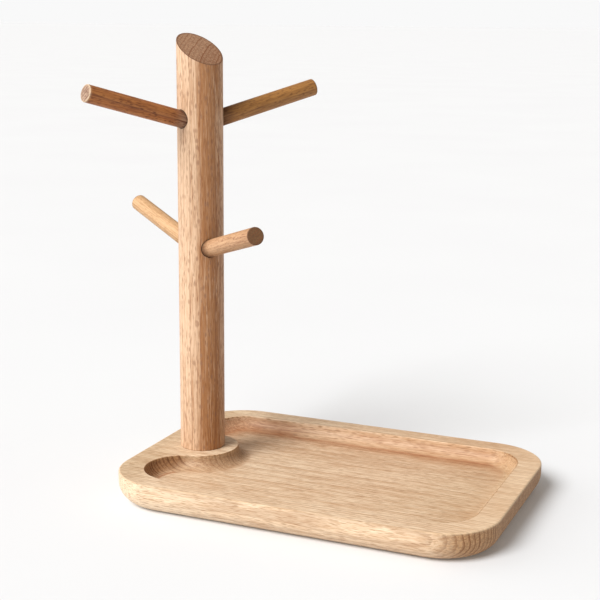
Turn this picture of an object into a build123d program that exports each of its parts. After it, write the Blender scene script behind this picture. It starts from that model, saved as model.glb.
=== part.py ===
from build123d import *
import os
from math import cos, radians, sin

# Mug tree: a beech tray with a post at one end, and four tilted pegs in the post.
# Millimetres. The origin is the middle of the tray's underside, +X runs along the
# tray away from the post, and +Z is up.

# tray
TRAY_LENGTH = 270.0
TRAY_WIDTH = 186.0
TRAY_HEIGHT = 21.0
TRAY_CORNER_RADIUS = 40.0
UNDERSIDE_RADIUS = 14.0
TOP_EDGE_RADIUS = 1.1

# recess in the tray's top, bulging to both sides of a boss that carries the post
RIM_WIDTH = 16.0
RECESS_DEPTH = 9.5
RECESS_CORNER_RADIUS = 28.0
COVE_RADIUS = 8.5
RECESS_EDGE_RADIUS = 0.6
BOSS_RADIUS = 26.0
LOBE_RADIUS = 26.0
LOBE_OFFSET = 10.15
CUTTER_MARGIN = 5.0

# post
POST_X = -102.0
POST_RADIUS = 16.0
POST_TOP_AT_AXIS = 305.0
POST_BLANK_TOP = 340.0
TOP_CUT_SLOPE = 33.6
TOP_CUT_FALLS_TOWARD = -27.4
TENON_RADIUS = 10.0
TENON_LENGTH = 12.0

# pegs
PEG_RADIUS = 6.0
PEG_TILT = 15.0
PEG_REACH = 93.0
PEG_END_EASE = 0.7
SPIGOT_RADIUS = 5.75
SPIGOT_START = 5.0
SPIGOT_END = 18.3
UPPER_PEG_Z = 253.5
LOWER_PEG_Z = 164.5
PEGS = {
    "upper_left_peg": (242.0, UPPER_PEG_Z),
    "upper_right_peg": (52.0, UPPER_PEG_Z),
    "lower_left_peg": (149.0, LOWER_PEG_Z),
    "lower_right_peg": (320.5, LOWER_PEG_Z),
}

# countersunk wood screw, driven up through the boss into the post
SCREW_HEAD_RADIUS = 4.5
SCREW_HEAD_RECESS = 0.6
SCREW_HEAD_RIM = 0.4
SCREW_SHANK_RADIUS = 2.25
SCREW_TIP_Z = 45.0
SCREW_TIP_LENGTH = 6.0
SCREW_POINT_RADIUS = 0.3
DRIVE_WIDTH = 1.0
DRIVE_SPAN = 4.6
DRIVE_DEPTH = 1.8
DRIVE_TURNS = (45.0, 135.0)

SAME_HEIGHT = 0.01
QUARTER_ARC_MIDDLE = sin(radians(45))


def vertical_cylinder(radius, bottom, top):
    """Cylinder on the post's axis between two heights."""
    middle = (bottom + top) / 2
    return Pos(POST_X, 0, middle) * Cylinder(radius, top - bottom)


def edges_at(solid, height):
    """The solid's edges that lie wholly at one height."""
    return solid.edges().filter_by_position(Axis.Z, height - SAME_HEIGHT, height + SAME_HEIGHT)


def recess_outline():
    """Face of the recess seen from above, drawn once round from the boss."""
    wall_y = TRAY_WIDTH / 2 - RIM_WIDTH
    wall_x = TRAY_LENGTH / 2 - RIM_WIDTH
    lobe_x = POST_X + LOBE_OFFSET
    lobe_y = wall_y - LOBE_RADIUS
    # the boss and a lobe touch halfway between their centres
    touch_x = (POST_X + lobe_x) / 2
    touch_y = lobe_y / 2
    corner_x = wall_x - RECESS_CORNER_RADIUS
    corner_y = wall_y - RECESS_CORNER_RADIUS
    diagonal = RECESS_CORNER_RADIUS * QUARTER_ARC_MIDDLE
    edges = [
        ThreePointArc((touch_x, -touch_y), (POST_X + BOSS_RADIUS, 0), (touch_x, touch_y)),
        Line((lobe_x, wall_y), (corner_x, wall_y)),
        Line((wall_x, corner_y), (wall_x, -corner_y)),
        Line((corner_x, -wall_y), (lobe_x, -wall_y)),
    ]
    for side in (1, -1):
        edges.append(
            ThreePointArc(
                (touch_x, side * touch_y),
                (lobe_x - LOBE_RADIUS, side * lobe_y),
                (lobe_x, side * wall_y),
            )
        )
        edges.append(
            ThreePointArc(
                (corner_x, side * wall_y),
                (corner_x + diagonal, side * (corner_y + diagonal)),
                (wall_x, side * corner_y),
            )
        )
    return make_face(edges)


def recess_cutter():
    """What is milled out of the tray, with its floor edge rounded to the cove."""
    floor = TRAY_HEIGHT - RECESS_DEPTH
    outline = Pos(0, 0, floor) * recess_outline()
    cutter = extrude(outline, RECESS_DEPTH + CUTTER_MARGIN)
    return fillet(edges_at(cutter, floor), COVE_RADIUS)


def screw_blank():
    """The screw's turned shape, without its drive recess."""
    shoulder_z = SCREW_HEAD_RECESS + SCREW_HEAD_RIM
    neck_z = shoulder_z + SCREW_HEAD_RADIUS - SCREW_SHANK_RADIUS
    profile = Polyline(
        (0, SCREW_HEAD_RECESS),
        (SCREW_HEAD_RADIUS, SCREW_HEAD_RECESS),
        (SCREW_HEAD_RADIUS, shoulder_z),
        (SCREW_SHANK_RADIUS, neck_z),
        (SCREW_SHANK_RADIUS, SCREW_TIP_Z - SCREW_TIP_LENGTH),
        (SCREW_POINT_RADIUS, SCREW_TIP_Z),
        (0, SCREW_TIP_Z),
        close=True,
    )
    section = make_face(Plane.XZ * profile)
    return Pos(POST_X, 0, 0) * revolve(section, Axis.Z)


def peg_bar(radius, start, end, azimuth, height):
    """Round bar on a peg's axis, between two distances from the post's axis."""
    tilt = radians(PEG_TILT)
    turn = radians(azimuth)
    direction = Vector(cos(tilt) * cos(turn), cos(tilt) * sin(turn), sin(tilt))
    origin = Vector(POST_X, 0, height) + direction * start
    return extrude(Plane(origin, z_dir=direction) * Circle(radius), end - start)


def peg_spigot(azimuth, height):
    """The part of a peg that is glued into the post."""
    return peg_bar(SPIGOT_RADIUS, SPIGOT_START, SPIGOT_END, azimuth, height)


def tray():
    """Tray board with a rolled underside, the recess, and the sockets under the post."""
    outline = RectangleRounded(TRAY_LENGTH, TRAY_WIDTH, TRAY_CORNER_RADIUS)
    board = extrude(outline, TRAY_HEIGHT)
    board = fillet(edges_at(board, 0), UNDERSIDE_RADIUS)
    board = fillet(edges_at(board, TRAY_HEIGHT), TOP_EDGE_RADIUS)
    board -= recess_cutter()
    rim = board.faces().sort_by(Axis.Z)[-1]
    board = fillet(rim.inner_wires()[0].edges(), RECESS_EDGE_RADIUS)
    board -= vertical_cylinder(TENON_RADIUS, TRAY_HEIGHT - TENON_LENGTH, TRAY_HEIGHT)
    board -= vertical_cylinder(SCREW_HEAD_RADIUS, 0, SCREW_HEAD_RECESS)
    board -= screw_blank()
    return board


def post():
    """Post with a tenon below, a slanted top, a socket for each peg, and the screw's hole."""
    tenon = vertical_cylinder(TENON_RADIUS, TRAY_HEIGHT - TENON_LENGTH, TRAY_HEIGHT)
    bar = tenon + vertical_cylinder(POST_RADIUS, TRAY_HEIGHT, POST_BLANK_TOP)
    slope = radians(TOP_CUT_SLOPE)
    fall = radians(TOP_CUT_FALLS_TOWARD)
    upward = Vector(sin(slope) * cos(fall), sin(slope) * sin(fall), cos(slope))
    top_cut = Plane(Vector(POST_X, 0, POST_TOP_AT_AXIS), z_dir=upward)
    bar = split(bar, top_cut, keep=Keep.BOTTOM)
    for azimuth, height in PEGS.values():
        bar -= peg_spigot(azimuth, height)
    return bar - screw_blank()


def peg(azimuth, height):
    """One peg: a spigot in the post, then the full round out to an eased end."""
    bar = peg_bar(PEG_RADIUS, SPIGOT_END, PEG_REACH, azimuth, height)
    free_end = bar.faces().sort_by_distance(Vector(POST_X, 0, height))[-1]
    bar = fillet(free_end.edges(), PEG_END_EASE)
    return bar + peg_spigot(azimuth, height)


def post_screw():
    """Countersunk screw with a cross recess in its head."""
    screw = screw_blank()
    recess_z = SCREW_HEAD_RECESS + DRIVE_DEPTH / 2
    for turn in DRIVE_TURNS:
        slot = Box(DRIVE_SPAN, DRIVE_WIDTH, DRIVE_DEPTH)
        screw -= Pos(POST_X, 0, recess_z) * Rot(0, 0, turn) * slot
    return screw


def main():
    nodes = {"tray": tray(), "post": post(), "post_screw": post_screw()}
    for name, (azimuth, height) in PEGS.items():
        nodes[name] = peg(azimuth, height)
    os.makedirs("parts", exist_ok=True)
    for name, shape in nodes.items():
        export_step(shape, f"parts/{name}.step")


main()
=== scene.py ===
from math import atan2, cos, hypot, pi, radians, sin, tan

import bmesh
import bpy
from mathutils import Matrix, Vector


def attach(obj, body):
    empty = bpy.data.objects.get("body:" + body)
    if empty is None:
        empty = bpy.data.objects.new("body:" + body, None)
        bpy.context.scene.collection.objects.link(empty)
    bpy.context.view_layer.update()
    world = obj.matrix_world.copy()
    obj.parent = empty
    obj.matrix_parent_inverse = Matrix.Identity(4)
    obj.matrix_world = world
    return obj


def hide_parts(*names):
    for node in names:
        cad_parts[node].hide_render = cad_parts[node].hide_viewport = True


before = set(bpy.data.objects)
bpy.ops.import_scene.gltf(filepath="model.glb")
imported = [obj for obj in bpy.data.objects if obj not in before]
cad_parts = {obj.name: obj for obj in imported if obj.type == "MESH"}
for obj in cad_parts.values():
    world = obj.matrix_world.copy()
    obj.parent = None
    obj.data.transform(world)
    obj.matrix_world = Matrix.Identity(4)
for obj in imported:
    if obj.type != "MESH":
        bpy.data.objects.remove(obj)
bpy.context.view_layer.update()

MM = 0.001

# sizes in millimetres, as in the CAD model
TRAY_HALF_LENGTH = 135.0
TRAY_HALF_WIDTH = 93.0
TRAY_HEIGHT = 21.0
TRAY_CORNER_RADIUS = 40.0
UNDERSIDE_RADIUS = 14.0
TOP_EDGE_RADIUS = 1.1
RIM_WIDTH = 16.0
RECESS_FLOOR = 11.5
RECESS_CORNER_RADIUS = 28.0
COVE_RADIUS = 8.5
RECESS_EDGE_RADIUS = 0.6
BOSS_RADIUS = 26.0
LOBE_RADIUS = 26.0
LOBE_OFFSET = 10.15
SCREW_HEAD_RADIUS = 4.5
SCREW_SHANK_RADIUS = 2.25
SCREW_SHOULDER_Z = 1.0
POST_X = -102.0
POST_RADIUS = 16.0
POST_TOP_AT_AXIS = 305.0
TOP_CUT_SLOPE = 33.6
TOP_CUT_FALLS_TOWARD = -27.4
PEG_RADIUS = 6.0
PEG_TILT = 15.0
PEG_REACH = 93.0
PEG_END_EASE = 0.7
PEGS = {
    "upper_left": (242.0, 253.5),
    "upper_right": (52.0, 253.5),
    "lower_left": (149.0, 164.5),
    "lower_right": (320.5, 164.5),
}

# details of the meshes, in millimetres; SHARP_ANGLE is in degrees, and STEPS are points round a bar
PEG_START = 11.6
PEG_STEPS = 72
SOCKET_GAP = 0.4
SOCKET_START = 12.0
SOCKET_END = 24.0
POST_STEPS = 144
POST_FOOT_TOP = 21.6
POST_TOP_EASE = 0.5
SHARP_ANGLE = 35.0
FLOOR_REACH = 60000.0

# sRGB colours from 0 to 255; each tint multiplies the wood's colour
# pale worn edges, and a painted highlight along the tray's end away from the post
WORN_EDGE_AND_HIGHLIGHT = (250, 224, 188)
# a darker ring on the post's top edge and on three peg ends
DARK_RIM = (96, 60, 36)
END_SPECK_TINT = (150, 134, 120)
COVE_TINT = (226, 211, 200)
# painted shade: a greyer, darker tone
PAINTED_SHADE_TINT = (234, 231, 224)
# painted shade at the cove's foot, and the post's painted shadow on the far cove
FOOT_SHADE_TINT = (204, 148, 102)

# camera: its place in metres, two of its axes as unit vectors, and its lens in millimetres
CAMERA_PLACE = (0.31783, -0.80629, 0.3255)
CAMERA_RIGHT = (0.91929, 0.39349, 0.00773)
CAMERA_BACK = (0.3831, -0.89917, 0.21148)
CAMERA_LENS = 77.94


# ---------------------------------------------------------------- mesh helpers

def arc(x, y, radius, start, end, steps):
    """Points on an arc, from start towards end in degrees, the last one left out."""
    turns = [radians(start + (end - start) * i / steps) for i in range(steps)]
    return [(x + radius * cos(t), y + radius * sin(t)) for t in turns]


def run(x0, y0, x1, y1, steps):
    """Points on a straight run, the last one left out."""
    return [(x0 + (x1 - x0) * i / steps, y0 + (y1 - y0) * i / steps) for i in range(steps)]


def tray_outline(inset):
    """The tray's outline from above, moved in by inset."""
    x = TRAY_HALF_LENGTH - inset
    y = TRAY_HALF_WIDTH - inset
    r = TRAY_CORNER_RADIUS - inset
    points = run(x, -y + r, x, y - r, 16) + arc(x - r, y - r, r, 0, 90, 24)
    points += run(x - r, y, r - x, y, 28) + arc(r - x, y - r, r, 90, 180, 24)
    points += run(-x, y - r, -x, r - y, 16) + arc(r - x, r - y, r, 180, 270, 24)
    points += run(r - x, -y, x - r, -y, 28) + arc(x - r, r - y, r, 270, 360, 24)
    return points


def recess_outline(inset):
    """The recess's outline from above, moved in by inset."""
    x = TRAY_HALF_LENGTH - RIM_WIDTH - inset
    y = TRAY_HALF_WIDTH - RIM_WIDTH - inset
    corner = RECESS_CORNER_RADIUS - inset
    lobe = LOBE_RADIUS - inset
    boss = BOSS_RADIUS + inset
    lobe_x = POST_X + LOBE_OFFSET
    lobe_y = TRAY_HALF_WIDTH - RIM_WIDTH - LOBE_RADIUS
    meet = atan2(lobe_y, LOBE_OFFSET) * 180 / pi
    points = run(x, -y + corner, x, y - corner, 16)
    points += arc(x - corner, y - corner, corner, 0, 90, 20)
    points += run(x - corner, y, lobe_x, y, 28)
    points += arc(lobe_x, lobe_y, lobe, 90, 180 + meet, 40)
    points += arc(POST_X, 0, boss, meet, -meet, 40)
    points += arc(lobe_x, -lobe_y, lobe, 180 - meet, 270, 40)
    points += run(lobe_x, -y, x - corner, -y, 28)
    points += arc(x - corner, corner - y, corner, 270, 360, 20)
    return points


def circle(x, y, radius, steps=48):
    return arc(x, y, radius, 0, 360, steps)


def quarter_turn(steps):
    """Angles from 0 to 90 degrees, in radians."""
    return [radians(90 * i / steps) for i in range(steps + 1)]


class Shell:
    """A closed mesh made of loops of points, in millimetres, with values at its points."""

    def __init__(self, *values):
        self.bm = bmesh.new()
        self.layers = {v: self.bm.verts.layers.float.new(v) for v in values}

    def loop(self, points, **values):
        """New points; each value is a number, or a function of a point."""
        verts = []
        for point in points:
            v = self.bm.verts.new(Vector(point) * MM)
            for name, value in values.items():
                v[self.layers[name]] = value(point) if callable(value) else value
            verts.append(v)
        return verts

    def join(self, lower, upper):
        """Faces between two loops that have as many points."""
        n = len(lower)
        for i in range(n):
            k = (i + 1) % n
            self.bm.faces.new((lower[i], lower[k], upper[k], upper[i]))

    def stack(self, loops):
        for lower, upper in zip(loops, loops[1:]):
            self.join(lower, upper)

    def fill(self, *loops):
        """A flat face inside the first loop, with a hole at each other loop."""
        edges = []
        for loop in loops:
            for i, v in enumerate(loop):
                edges.append(self.bm.edges.get((v, loop[(i + 1) % len(loop)])))
        bmesh.ops.triangle_fill(self.bm, use_beauty=True, use_dissolve=False, edges=edges)

    def finish(self, name, place=None):
        bmesh.ops.recalc_face_normals(self.bm, faces=self.bm.faces)
        if place is not None:
            bmesh.ops.transform(self.bm, matrix=place, verts=self.bm.verts)
        mesh = bpy.data.meshes.new(name)
        self.bm.to_mesh(mesh)
        self.bm.free()
        mesh.shade_smooth()
        piece = bpy.data.objects.new(name, mesh)
        bpy.context.scene.collection.objects.link(piece)
        return piece


def at(points, z):
    return [(x, y, z) for x, y in points]


# ---------------------------------------------------------------- pieces

# Each of these gives a value for a point of the tray, for the material to read.

def ramp(value, start, end):
    """0 before start, 1 past end, and even between them; end may be below start."""
    return min(1.0, max(0.0, (value - start) / (end - start)))


def open_end(point):
    """1 at the recess's open end, far from the post, and 0 elsewhere."""
    return ramp(point[0], 92, 108)


def post_end(point):
    """1 at the board's post end and 0 elsewhere."""
    return ramp(point[0], -95, -120)


def near_post(point):
    """1 at the outside's post end, where the rings barely show, fading out before the middle."""
    return ramp(point[0], -45, -95)


def quiet_cove(point):
    """How little of the figure the cove shows: all of it only at the near lobe's outer end."""
    past_lobe = ramp(point[0], -107, -95)
    far = ramp(point[1], 0, 20)
    return max(open_end(point), 0.65 * past_lobe, far)


def at_boss(point):
    """1 on the boss's own cove and 0 elsewhere."""
    from_boss = hypot(point[0] - POST_X, point[1]) - BOSS_RADIUS
    return ramp(from_boss, 13, 10)


def cove_dusk(depth):
    """How much painted shade the cove gets: most high on the boss and in the far corner of the open end.
    """
    def share(point):
        far = ramp(point[1], 20, 50)
        return max((0.6 + 0.4 * far) * open_end(point), at_boss(point) * (1 - 0.7 * depth))
    return share


def highlight_at_right_end(value):
    """value at the tray's end away from the post, fading to 0; it places the painted highlight there."""
    return lambda point: value * ramp(point[0], 95, 120)


def shade_at_front_edge(value):
    """value along the tray's near side, fading to 0; it places painted shade on the rounded edge there."""
    return lambda point: value * ramp(point[1], -75, -87)


def away_from_open_end(value):
    """value everywhere but at the recess's open end."""
    return lambda point: value * (1 - open_end(point))


def far_side(value):
    """value on the floor's far side, fading out toward the middle and halved at the open end."""
    return lambda point: value * ramp(point[1], 15, 55) * (1 - 0.5 * open_end(point))


def post_shadow_on_cove(point):
    """1 on the far cove beside the post, where the post's painted shadow falls, and 0 elsewhere."""
    return ramp(point[0], -50, -68) * ramp(point[1], 30, 50)


def cove_foot_shade(value, depth):
    """Painted shade at the cove's foot: value, but none at the open end and little at the boss; behind the
    post it becomes the post's painted shadow and grows with depth.
    """
    def share(point):
        line = value * (1 - open_end(point)) * (1 - 0.8 * at_boss(point))
        return max(line, (0.3 + 0.7 * depth) * post_shadow_on_cove(point))
    return share


def floor_painted_shade(point):
    """How much painted shade the recess's floor gets: only toward the open end."""
    return 0.6 * ramp(point[0], 60, 100)


def make_tray():
    """Tray board: a rolled underside, an eased rim, the coved recess and the screw's hole.

    Values at its points: wear is a pale edge, a little wear at the recess and a
    painted highlight at the tray's end away from the post, cove a rosier cut, foot painted shade
    at the cove's foot that turns into the post's painted shadow on the far cove, calm less
    figure and dusk a painted shade that greys and darkens the tone.
    """
    shell = Shell("wear", "cove", "foot", "calm", "dusk")

    outside = [shell.loop(at(tray_outline(UNDERSIDE_RADIUS + 0.2), 0))]
    for t in quarter_turn(14):
        inset = UNDERSIDE_RADIUS * (1 - sin(t))
        ring = at(tray_outline(inset), UNDERSIDE_RADIUS * (1 - cos(t)))
        outside.append(shell.loop(ring, calm=near_post))
    shoulder = TRAY_HEIGHT - TOP_EDGE_RADIUS
    # the upper side: a painted highlight near the top at the end away from the post
    for z, wear in ((16.0, 0), (18.3, 0), (19.4, 0.1)):
        outside.append(shell.loop(at(tray_outline(0), z), wear=highlight_at_right_end(wear), calm=near_post))
    # the rounded top edge: a painted highlight at the end away from the post, and painted shade along the
    # near side
    for t in quarter_turn(8):
        inset = TOP_EDGE_RADIUS * (1 - cos(t))
        ring = at(tray_outline(inset), shoulder + TOP_EDGE_RADIUS * sin(t))
        edge_weight = 0.3 + 0.7 * sin(2 * t)
        outside.append(shell.loop(ring, wear=highlight_at_right_end(edge_weight), dusk=shade_at_front_edge(edge_weight), calm=near_post))
    # the flat top beside the edge: a painted highlight at the far end, painted shade at the post end
    for inset in (1.25, 3.0):
        ring = at(tray_outline(inset), TRAY_HEIGHT)
        outside.append(shell.loop(ring, wear=highlight_at_right_end(0.4), dusk=post_end))
    shell.stack(outside)

    inside = []
    # the flat top inside the rim: a painted highlight at the far end, painted shade at the post end
    for inset in (-2.2, -RECESS_EDGE_RADIUS - 0.15):
        ring = at(recess_outline(inset), TRAY_HEIGHT)
        inside.append(shell.loop(ring, wear=highlight_at_right_end(0.3), dusk=post_end))
    # the eased recess edge: a little pale wear, and painted shade at the open end
    for t in quarter_turn(5):
        inset = RECESS_EDGE_RADIUS * (sin(t) - 1)
        z = TRAY_HEIGHT - RECESS_EDGE_RADIUS * (1 - cos(t))
        edge_weight = away_from_open_end(0.15 * sin(2 * t))
        inside.append(shell.loop(at(recess_outline(inset), z), wear=edge_weight, dusk=open_end))
    # the cove: painted shade at its foot, on the boss and at the open end, and the post's painted shadow
    # on the far cove
    for i, t in enumerate(quarter_turn(18)):
        inset = COVE_RADIUS * (1 - cos(t))
        z = RECESS_FLOOR + COVE_RADIUS * (1 - sin(t))
        cove = away_from_open_end(min(1, i / 3) * min(1, (18 - i) / 5 + 0.35))
        foot = cove_foot_shade(max(0, (i - 14) / 4), i / 18)
        values = {"cove": cove, "foot": foot, "calm": quiet_cove, "dusk": cove_dusk(i / 18)}
        inside.append(shell.loop(at(recess_outline(inset), z), **values))
    # the floor: painted shade spreading out from the far cove's foot, and toward the open end
    for extra, foot, cove in ((0.15, cove_foot_shade(0.9, 1.0), 0.3), (1.6, far_side(0.75), 0.15),
                              (5.0, far_side(0.6), 0.0), (14.0, far_side(0.25), 0.0)):
        ring = at(recess_outline(COVE_RADIUS + extra), RECESS_FLOOR)
        values = {"cove": away_from_open_end(cove), "foot": foot, "calm": open_end, "dusk": floor_painted_shade}
        inside.append(shell.loop(ring, **values))
    shell.stack(inside)
    shell.fill(outside[-1], inside[0])
    shell.fill(inside[-1])

    hole = [
        shell.loop(at(circle(POST_X, 0, radius), z))
        for radius, z in (
            (SCREW_HEAD_RADIUS + 0.25, 0),
            (SCREW_HEAD_RADIUS + 0.05, 0.2),
            (SCREW_HEAD_RADIUS + 0.05, SCREW_SHOULDER_Z),
            (SCREW_SHANK_RADIUS, SCREW_SHOULDER_Z + SCREW_HEAD_RADIUS - SCREW_SHANK_RADIUS),
        )
    ]
    shell.stack(hole)
    shell.fill(hole[-1])
    shell.fill(outside[0], hole[0])
    return shell.finish("tray_board")


def peg_place(azimuth, height):
    """Matrix that lays the Z axis along a peg, starting at the post's axis."""
    turn = Matrix.Rotation(radians(azimuth), 4, "Z") @ Matrix.Rotation(radians(90 - PEG_TILT), 4, "Y")
    return Matrix.Translation(Vector((POST_X, 0, height)) * MM) @ turn


def round_bar(shell, profile):
    """Loops round the Z axis at (radius, z, value), closed at both ends."""
    loops = []
    for radius, z, value in profile:
        values = {name: value for name in shell.layers}
        loops.append(shell.loop(at(circle(0, 0, radius, PEG_STEPS), z), **values))
    shell.stack(loops)
    shell.fill(loops[0])
    shell.fill(loops[-1])


def make_peg(side, azimuth, height, edge):
    """Peg with an eased end; edge is "wear" for a pale end edge or "rim" for a dark one."""
    shell = Shell(edge)
    profile = [(PEG_RADIUS, PEG_START, 0)]
    ease_start = PEG_REACH - PEG_END_EASE
    profile += [(PEG_RADIUS, z, 0) for z in (30, 50, 70, 85, ease_start - 1.2)]
    for t in quarter_turn(6):
        radius = PEG_RADIUS - PEG_END_EASE * (1 - cos(t))
        profile.append((radius, ease_start + PEG_END_EASE * sin(t), 0.35 + 0.65 * sin(2 * t)))
    profile += [(PEG_RADIUS - 1.1, PEG_REACH, 0.2), (PEG_RADIUS - 2.0, PEG_REACH, 0)]
    round_bar(shell, profile)
    return shell.finish(side + "_peg_bar", peg_place(azimuth, height))


def make_socket(azimuth, height):
    """What a peg's socket takes out of the post: the peg, and SOCKET_GAP all round it."""
    shell = Shell()
    round_bar(shell, [(PEG_RADIUS + SOCKET_GAP, z, 0) for z in (SOCKET_START, SOCKET_END)])
    return shell.finish("socket", peg_place(azimuth, height))


def make_post():
    """Post with an eased foot, a slanted top with an eased edge, and a socket at each peg."""
    shell = Shell()
    fall = radians(TOP_CUT_FALLS_TOWARD)
    slope = tan(radians(TOP_CUT_SLOPE))

    def top(x, y):
        """Height of the slanted top at x and y from the post's axis."""
        return POST_TOP_AT_AXIS - slope * (x * cos(fall) + y * sin(fall))

    loops = []
    for radius, z in ((15.6, 20.96), (15.75, 21.05), (15.92, 21.25), (POST_RADIUS, POST_FOOT_TOP)):
        loops.append(shell.loop(at(circle(0, 0, radius, POST_STEPS), z)))
    for i in range(1, 60):
        points = []
        for x, y in circle(0, 0, POST_RADIUS, POST_STEPS):
            length = top(x, y) - POST_TOP_EASE - POST_FOOT_TOP
            points.append((x, y, POST_FOOT_TOP + i / 60 * length))
        loops.append(shell.loop(points))
    top_edge = (
        (POST_RADIUS, POST_TOP_EASE), (POST_RADIUS, 0.28), (15.92, 0.08),
        (15.76, 0.0), (15.2, 0.0), (14.5, 0.0),
    )
    for radius, drop in top_edge:
        ring = circle(0, 0, radius, POST_STEPS)
        loops.append(shell.loop([(x, y, top(x, y) - drop) for x, y in ring]))
    shell.stack(loops)
    shell.fill(loops[0])
    shell.fill(loops[-1])
    post = shell.finish("post_bar", Matrix.Translation(Vector((POST_X * MM, 0, 0))))
    for azimuth, height in PEGS.values():
        cutter = make_socket(azimuth, height)
        cut = post.modifiers.new("socket", "BOOLEAN")
        cut.operation = "DIFFERENCE"
        cut.solver = "EXACT"
        cut.object = cutter
        graph = bpy.context.evaluated_depsgraph_get()
        mesh = bpy.data.meshes.new_from_object(post.evaluated_get(graph), depsgraph=graph)
        post.modifiers.clear()
        post.data = mesh
        bpy.data.objects.remove(cutter)
    post.data.name = "post_bar"
    mark_post_rim(post.data, top)
    post.data.set_sharp_from_angle(angle=radians(SHARP_ANGLE))
    return post


def mark_post_rim(mesh, top):
    """Value 1 on the outermost ring of the slanted top, which the material darkens."""
    layer = mesh.attributes.new("rim", "FLOAT", "POINT")
    for v in mesh.vertices:
        x = v.co.x / MM - POST_X
        y = v.co.y / MM
        on_top = max(0.0, 1 - (top(x, y) - v.co.z / MM) / 0.2)
        layer.data[v.index].value = on_top * ramp(hypot(x, y), 14.5, 15.5)


# ---------------------------------------------------------------- materials

def linear(r, g, b):
    """Scene colour of an sRGB colour from 0 to 255."""
    out = []
    for c in (r / 255, g / 255, b / 255):
        out.append(c / 12.92 if c <= 0.04045 else ((c + 0.055) / 1.055) ** 2.4)
    return (*out, 1.0)


class Graph:
    """Short calls that add shader nodes and return their sockets."""

    def __init__(self, name):
        self.material = bpy.data.materials.new(name)
        self.material.use_nodes = True
        self.tree = self.material.node_tree
        self.shader = self.tree.nodes["Principled BSDF"]

    def node(self, kind, inputs=(), **settings):
        made = self.tree.nodes.new("ShaderNode" + kind)
        for key, value in settings.items():
            setattr(made, key, value)
        for key, value in dict(inputs).items():
            self.put(made.inputs[key], value)
        return made

    def put(self, socket, value):
        if isinstance(value, bpy.types.NodeSocket):
            self.tree.links.new(value, socket)
        else:
            socket.default_value = value

    def math(self, operation, a, b=0.0, clamp=False):
        inputs = {0: a, 1: b}
        return self.node("Math", inputs, operation=operation, use_clamp=clamp).outputs[0]

    def add(self, a, b):
        return self.math("ADD", a, b)

    def mul(self, a, b):
        return self.math("MULTIPLY", a, b)

    def vector(self, x, y, z):
        return self.node("CombineXYZ", {0: x, 1: y, 2: z}).outputs[0]

    def split(self, vector):
        return self.node("SeparateXYZ", {0: vector}).outputs[:]

    def step(self, value, low, high, out_low=0.0, out_high=1.0):
        """Smooth step of value from low to high."""
        inputs = {"Value": value, "From Min": low, "From Max": high, "To Min": out_low, "To Max": out_high}
        return self.node("MapRange", inputs, interpolation_type="SMOOTHSTEP").outputs[0]

    def noise(self, vector, detail=2.0, roughness=0.5):
        inputs = {"Vector": vector, "Scale": 1.0, "Detail": detail, "Roughness": roughness}
        return self.node("TexNoise", inputs).outputs[0]

    def cells(self, vector):
        """Distance to the nearest cell point, and that cell's random value."""
        made = self.node("TexVoronoi", {"Vector": vector, "Scale": 1.0}, feature="F1")
        return made.outputs["Distance"], self.split(made.outputs["Color"])[0]

    def random(self, value):
        return self.node("TexWhiteNoise", {"W": value}, noise_dimensions="1D").outputs[0]

    def mix(self, share, a, b, blend="MIX"):
        made = self.node("Mix", data_type="RGBA", blend_type=blend, clamp_factor=True)
        for index, value in ((0, share), (6, a), (7, b)):
            self.put(made.inputs[index], value)
        return made.outputs[2]

    def tint(self, share, colour, tint):
        """The colour, multiplied by a tint to a given share."""
        return self.mix(share, colour, self.mix(1.0, colour, linear(*tint), "MULTIPLY"))

    def swing(self, value, amount):
        """A value from 0 to 1, centred on 0 and scaled."""
        return self.mul(self.add(value, -0.5), amount)

    def value(self, name):
        """A value stored at the mesh's points."""
        return self.node("Attribute", attribute_name=name).outputs["Fac"]


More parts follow.
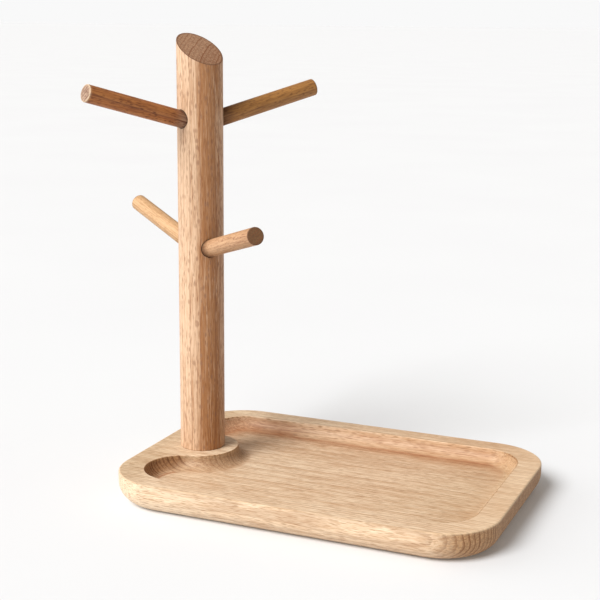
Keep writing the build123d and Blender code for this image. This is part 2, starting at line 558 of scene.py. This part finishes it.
def beech(
    name, frame_matrix, pith, seed,
    light, dark, fleck, end,
    ring, cell, fleck_depth,
    ring_depth=0.35, streak=1.0, strands=(0.8, 0.024), late_wood=None, flake_share=0.5,
    drift=0.0, fray=0.0, heart_and_shade=None, extra=None,
):
    """Oiled beech as a solid: growth rings round a pith, fibres and ray flecks along the grain.

    frame_matrix has the grain as its Z axis. Lengths inside are millimetres. The cut through
    the solid gives each face its own figure, and faces across the grain are darker. cell is a
    ray's width, depth and length, strands are the scales of the streaks, fray is how far fibres
    bend the rings, and heart_and_shade is where the wood darkens and lightens again, toward the
    pith; on the post that dark band also stands in part for painted shade on its side away from the lamps.
    """
    g = Graph(name)
    rotation = frame_matrix.to_euler()
    source = g.node("TexCoord")
    place = {"Vector": source.outputs["Object"], "Location": frame_matrix.to_translation(),
             "Rotation": rotation, "Scale": (MM, MM, MM)}
    local = g.node("Mapping", place, vector_type="TEXTURE").outputs[0]
    facing = {"Vector": source.outputs["Normal"], "Rotation": rotation}
    normal = g.node("Mapping", facing, vector_type="TEXTURE").outputs[0]
    p, q, along = g.split(local)
    normal_p, normal_q, normal_along = g.split(normal)

    def field(across, lengthwise, shift, detail=2.0, roughness=0.5):
        """Noise with features 1/across wide and 1/lengthwise long."""
        at_p = g.add(g.mul(p, across), seed + shift)
        at_q = g.add(g.mul(q, across), seed - shift)
        return g.noise(g.vector(at_p, at_q, g.mul(along, lengthwise)), detail, roughness)

    # noises, from broad bands to fine fibres
    broad = field(0.022, 0.006, 1.3)
    wave = field(0.3, 0.02, 4.1)
    strand = field(*strands, 6.4, 3.0, 0.6)
    mottle = field(0.8, 0.05, 12.8, 3.0, 0.65)
    fibre = field(1.6, 0.08, 7.7, 4.0, 0.62)
    fine = field(5.0, 0.3, 9.2, 3.0, 0.6)

    # growth rings, each with a darker late wood of its own strength
    from_pith_p = g.math("SUBTRACT", p, pith[0])
    from_pith_q = g.math("SUBTRACT", q, pith[1])
    away = g.math("SQRT", g.add(g.mul(from_pith_p, from_pith_p), g.mul(from_pith_q, from_pith_q)))
    unit_p = g.math("DIVIDE", from_pith_p, away)
    unit_q = g.math("DIVIDE", from_pith_q, away)
    bent = g.add(g.add(away, g.mul(broad, 9.0)), g.mul(wave, 0.9))
    bent = g.add(bent, g.mul(fibre, fray))
    phase = g.math("DIVIDE", bent, ring)
    ring_number = g.math("FLOOR", phase)
    within = g.math("FRACT", phase)
    ring_tone = g.random(ring_number)
    late = g.mul(g.step(within, 0.5, 0.93), g.step(within, 1.0, 0.94))
    late = g.mul(late, g.add(g.mul(ring_tone, 1.1), 0.45))

    # how far each face is cut along a ray, along a ring, and across the grain
    radial_face = g.math("ABSOLUTE", g.math("SUBTRACT", g.mul(normal_p, unit_q), g.mul(normal_q, unit_p)))
    growth_face = g.math("ABSOLUTE", g.add(g.mul(normal_p, unit_p), g.mul(normal_q, unit_q)))
    end_face = g.step(g.math("ABSOLUTE", normal_along), 0.1, 0.65)
    plain = g.math("SUBTRACT", 1.0, g.value("calm"))
    end_face = g.mul(end_face, plain)

    # rays as cells stretched along the grain, and pores as thin dashes
    round_pith = g.mul(g.math("ARCTAN2", from_pith_q, from_pith_p), hypot(*pith))
    sideways = g.add(g.math("DIVIDE", round_pith, cell[0]), g.mul(wave, 3.0))
    ray_place = g.vector(sideways, g.math("DIVIDE", away, cell[1]), g.math("DIVIDE", along, cell[2]))
    ray_distance, ray_random = g.cells(ray_place)
    ray = g.mul(g.step(ray_distance, 0.42, 0.14), g.step(ray_random, 0.05, 0.45))
    bend = g.mul(wave, 2.0)
    pore_place = g.vector(g.add(g.mul(p, 1.05), bend), g.add(g.mul(q, 1.05), bend), g.mul(along, 0.14))
    pore_distance, pore_random = g.cells(pore_place)
    pore = g.mul(g.step(pore_distance, 0.4, 0.12), g.step(pore_random, 0.2, 0.7))

    # tone from light to dark, then the colours laid over it
    tone = g.add(g.swing(broad, 1.3), g.mul(g.swing(ring_tone, 0.35), plain))
    tone = g.add(tone, g.swing(strand, 1.5 * streak))
    tone = g.add(tone, g.swing(fibre, 2.3 * streak))
    tone = g.add(tone, g.mul(along, drift))
    # a darker band toward the pith: figure of the wood, and on the post in part painted shade on its side
    # away from the lamps
    if heart_and_shade:
        ragged = g.add(away, g.add(g.swing(fibre, 9.0), g.swing(wave, 8.0)))
        tone = g.add(tone, g.step(ragged, heart_and_shade[0], heart_and_shade[1], -0.3, 0.55))
        tone = g.add(tone, g.step(ragged, heart_and_shade[2], heart_and_shade[3], 0.0, -0.45))
        ray = g.mul(ray, g.step(ragged, heart_and_shade[0], heart_and_shade[1], 0.65, 1.25))
    tone = g.add(g.add(tone, g.swing(fine, 0.5 * streak)), 0.5)
    colour = g.mix(g.math("ADD", tone, 0.0, clamp=True), linear(*light), linear(*dark))
    end_colour = g.mix(0.35, linear(*end), g.mix(1.0, colour, linear(*end), "MULTIPLY"))
    specks = g.step(mottle, 0.42, 0.58, 0.0, 0.5)
    end_colour = g.tint(specks, end_colour, END_SPECK_TINT)
    colour = g.mix(g.mul(end_face, 0.9), colour, end_colour)
    ring_strength = g.add(g.mul(end_face, 1.2), g.add(g.mul(plain, 0.7), 0.3))
    ring_share = g.mul(g.mul(late, ring_depth), ring_strength)
    colour = g.mix(ring_share, colour, linear(*(late_wood or fleck)))
    shown_ray = g.mul(ray, g.step(growth_face, 0.0, 0.8, flake_share, 1.0))
    shown_ray = g.mul(shown_ray, g.math("SUBTRACT", 1.0, g.mul(g.value("cove"), 0.45)))
    colour = g.mix(g.mul(shown_ray, fleck_depth), colour, linear(*fleck))
    thread = g.mul(g.step(fibre, 0.53, 0.68), 0.5 * fleck_depth)
    colour = g.mix(thread, colour, linear(*fleck))
    flake = g.mul(g.mul(ray, radial_face), 0.18)
    colour = g.mix(flake, colour, linear(*light))
    colour = g.mix(g.mul(pore, 0.8 * fleck_depth), colour, linear(*fleck))
    if extra:
        colour = extra(g, colour, fibre)
    # pale worn edges, and along the tray's end away from the post a painted highlight
    wear = g.value("wear")
    colour = g.mix(g.mul(wear, 0.5), colour, linear(*WORN_EDGE_AND_HIGHLIGHT))
    # a darker ring on the post's top edge and on three peg ends
    colour = g.mix(g.mul(g.value("rim"), 0.6), colour, linear(*DARK_RIM))
    g.put(g.shader.inputs["Base Color"], colour)

    # gloss and relief
    rough = g.add(g.mul(fibre, 0.22), g.mul(end_face, 0.12))
    rough = g.add(g.add(rough, g.mul(ray, 0.08)), 0.42)
    g.put(g.shader.inputs["Roughness"], g.math("SUBTRACT", rough, g.mul(wear, 0.08)))
    g.shader.inputs["Specular IOR Level"].default_value = 0.4

    height = g.add(g.mul(fibre, 0.5), g.mul(fine, 0.35))
    height = g.math("SUBTRACT", height, g.add(g.mul(ray, 0.35), g.mul(pore, 0.45)))
    height = g.math("SUBTRACT", height, g.mul(late, 0.12))
    bump = g.node("Bump", {"Height": height, "Strength": 0.5, "Distance": 0.00016})
    g.put(g.shader.inputs["Normal"], bump.outputs[0])
    return g.material


def recess_tones(g, colour, fibre):
    """Milled coves, rosier than the planed faces, painted shade that dulls some places, and painted shade
    at the foot that deepens into the post's painted shadow on the far cove.
    """
    colour = g.tint(g.mul(g.value("cove"), 0.8), colour, COVE_TINT)
    # painted shade
    colour = g.tint(g.value("dusk"), colour, PAINTED_SHADE_TINT)
    # painted shade along the cove's foot, deepened into the post's painted shadow on the far cove
    line = g.mul(g.value("foot"), g.step(fibre, 0.35, 0.65, 0.55, 0.85))
    return g.tint(line, colour, FOOT_SHADE_TINT)


def steel():
    """Zinc-plated screw steel with fine turned marks."""
    g = Graph("screw_zinc")
    source = g.node("TexCoord")
    x, y, z = g.split(source.outputs["Object"])
    blotch = g.noise(g.vector(g.mul(x, 900), g.mul(y, 900), g.mul(z, 900)), 3.0, 0.6)
    turned = g.noise(g.vector(g.mul(x, 300), g.mul(y, 300), g.mul(z, 6000)), 2.0, 0.5)
    g.put(g.shader.inputs["Base Color"], g.mix(blotch, linear(150, 150, 152), linear(205, 206, 208)))
    g.put(g.shader.inputs["Roughness"], g.add(g.mul(blotch, 0.25), 0.22))
    g.shader.inputs["Metallic"].default_value = 1.0
    height = g.add(g.mul(turned, 0.6), g.mul(blotch, 0.4))
    bump = g.node("Bump", {"Height": height, "Strength": 0.3, "Distance": 0.00005})
    g.put(g.shader.inputs["Normal"], bump.outputs[0])
    return g.material


# ---------------------------------------------------------------- the object

def place_piece(piece, node, material):
    """Puts a piece in the place of a CAD node, with its material."""
    piece.data.materials.clear()
    piece.data.materials.append(material)
    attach(piece, "root")
    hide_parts(node)


board_frame = Matrix(((0, 0, 1, 0), (1, 0, 0, 0), (0, 1, 0, 0), (0, 0, 0, 1)))
board_wood = beech(
    "beech_board", board_frame, pith=(-160.0, 9.0), seed=3.0,
    light=(234, 210, 180), dark=(200, 163, 127), fleck=(150, 108, 72), end=(198, 158, 114),
    ring=2.7, ring_depth=0.38, fleck_depth=0.8, streak=0.9, cell=(1.25, 3.6, 7.5),
    strands=(0.34, 0.055), late_wood=(122, 78, 44), drift=0.002,
    extra=recess_tones,
)
place_piece(make_tray(), "tray", board_wood)

post_frame = Matrix.Translation(Vector((POST_X * MM, 0, 0)))
# the post's dark heart band lies on its side away from the lamps and is partly painted shade
post_wood = beech(
    "beech_post", post_frame, pith=(140.0, 22.0), seed=11.0,
    light=(218, 184, 152), dark=(168, 117, 74), fleck=(120, 70, 38), end=(178, 142, 113),
    ring=2.3, ring_depth=0.3, fleck_depth=0.75, cell=(1.05, 4.0, 6.0), flake_share=0.9,
    drift=-0.0008, fray=1.2, heart_and_shade=(146.0, 133.0, 128.5, 126.5),
)
place_piece(make_post(), "post", post_wood)

PEG_WOOD = {
    "upper_left": {"seed": 21.0, "light": (185, 120, 64), "dark": (142, 80, 37), "fleck": (92, 44, 18),
                   "end": (196, 176, 156), "fleck_depth": 0.9},
    "upper_right": {"seed": 34.0, "light": (165, 116, 60), "dark": (136, 90, 42), "fleck": (92, 54, 24),
                    "end": (150, 112, 78), "fleck_depth": 0.7},
    "lower_left": {"seed": 47.0, "light": (206, 167, 125), "dark": (180, 140, 98), "fleck": (148, 104, 62),
                   "end": (204, 160, 118), "fleck_depth": 0.6},
    "lower_right": {"seed": 58.0, "light": (198, 158, 120), "dark": (174, 128, 90), "fleck": (124, 76, 46),
                    "end": (116, 85, 52), "fleck_depth": 0.8},
}
for side, (azimuth, height) in PEGS.items():
    wood = beech(
        "beech_peg_" + side, peg_place(azimuth, height), pith=(34.0, 26.0),
        ring=2.2, cell=(0.95, 3.2, 3.8), strands=(0.9, 0.07), **PEG_WOOD[side],
    )
    edge = "wear" if side == "upper_left" else "rim"
    place_piece(make_peg(side, azimuth, height, edge), side + "_peg", wood)

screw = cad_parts["post_screw"]
screw.data.materials.clear()
screw.data.materials.append(steel())


# ---------------------------------------------------------------- floor, light, camera

def make_floor():
    """White floor that glows a little, so its shadows stay soft and warm."""
    shell = Shell()
    reach = FLOOR_REACH
    corners = [(-reach, -reach, 0), (reach, -reach, 0), (reach, reach, 0), (-reach, reach, 0)]
    shell.bm.faces.new(shell.loop(corners))
    floor = shell.finish("floor")
    g = Graph("floor_white")
    source = g.node("TexCoord")
    place = g.node("Mapping", {"Vector": source.outputs["Object"], "Scale": (3, 3, 3)})
    mottle = g.noise(place.outputs[0])
    g.put(g.shader.inputs["Base Color"], g.mix(mottle, linear(216, 218, 222), linear(220, 223, 226)))
    g.shader.inputs["Emission Color"].default_value = (1.0, 0.93, 0.84, 1.0)
    g.shader.inputs["Emission Strength"].default_value = 0.07
    g.shader.inputs["Roughness"].default_value = 0.85
    g.shader.inputs["Specular IOR Level"].default_value = 0.1
    floor.data.materials.append(g.material)


def soft_light(name, azimuth, elevation, spread, strength, colour):
    """Wide soft light from a compass direction, even over the whole floor."""
    light = bpy.data.lights.new(name, "SUN")
    light.angle = radians(spread)
    light.energy = strength
    light.color = colour
    lamp = bpy.data.objects.new(name, light)
    a, e = radians(azimuth), radians(elevation)
    back = Vector((cos(a) * cos(e), sin(a) * cos(e), sin(e)))
    lamp.rotation_mode = "QUATERNION"
    lamp.rotation_quaternion = back.to_track_quat("Z", "Y")
    bpy.context.scene.collection.objects.link(lamp)


def make_world():
    """White behind everything that the camera sees, and a dimmer warm light from all round."""
    world = bpy.data.worlds.new("studio")
    bpy.context.scene.world = world
    world.use_nodes = True
    nodes = world.node_tree.nodes
    backdrop = nodes.new("ShaderNodeBackground")
    backdrop.inputs[0].default_value = linear(249, 249, 249)
    ambient = nodes["Background"]
    ambient.inputs[0].default_value = (1.0, 0.93, 0.85, 1)
    ambient.inputs[1].default_value = 0.37
    path = nodes.new("ShaderNodeLightPath")
    mix = nodes.new("ShaderNodeMixShader")
    links = world.node_tree.links
    links.new(path.outputs["Is Camera Ray"], mix.inputs[0])
    links.new(ambient.outputs[0], mix.inputs[1])
    links.new(backdrop.outputs[0], mix.inputs[2])
    links.new(mix.outputs[0], nodes["World Output"].inputs[0])


def make_camera():
    data = bpy.data.cameras.new("camera")
    data.lens = CAMERA_LENS
    data.sensor_width = 36.0
    data.sensor_fit = "HORIZONTAL"
    data.clip_start, data.clip_end = 0.05, 200.0
    camera = bpy.data.objects.new("camera", data)
    right = Vector(CAMERA_RIGHT)
    back = Vector(CAMERA_BACK)
    turn = Matrix((right, back.cross(right), back)).transposed().to_4x4()
    camera.matrix_world = Matrix.Translation(CAMERA_PLACE) @ turn
    bpy.context.scene.collection.objects.link(camera)
    bpy.context.scene.camera = camera


make_floor()
soft_light("key", azimuth=-115, elevation=43, spread=32, strength=3.66, colour=(1, 0.995, 0.985))
soft_light("side", azimuth=-168, elevation=22, spread=60, strength=1.0, colour=(1, 0.99, 0.98))
make_world()
make_camera()
bpy.context.scene.view_settings.view_transform = "Standard"
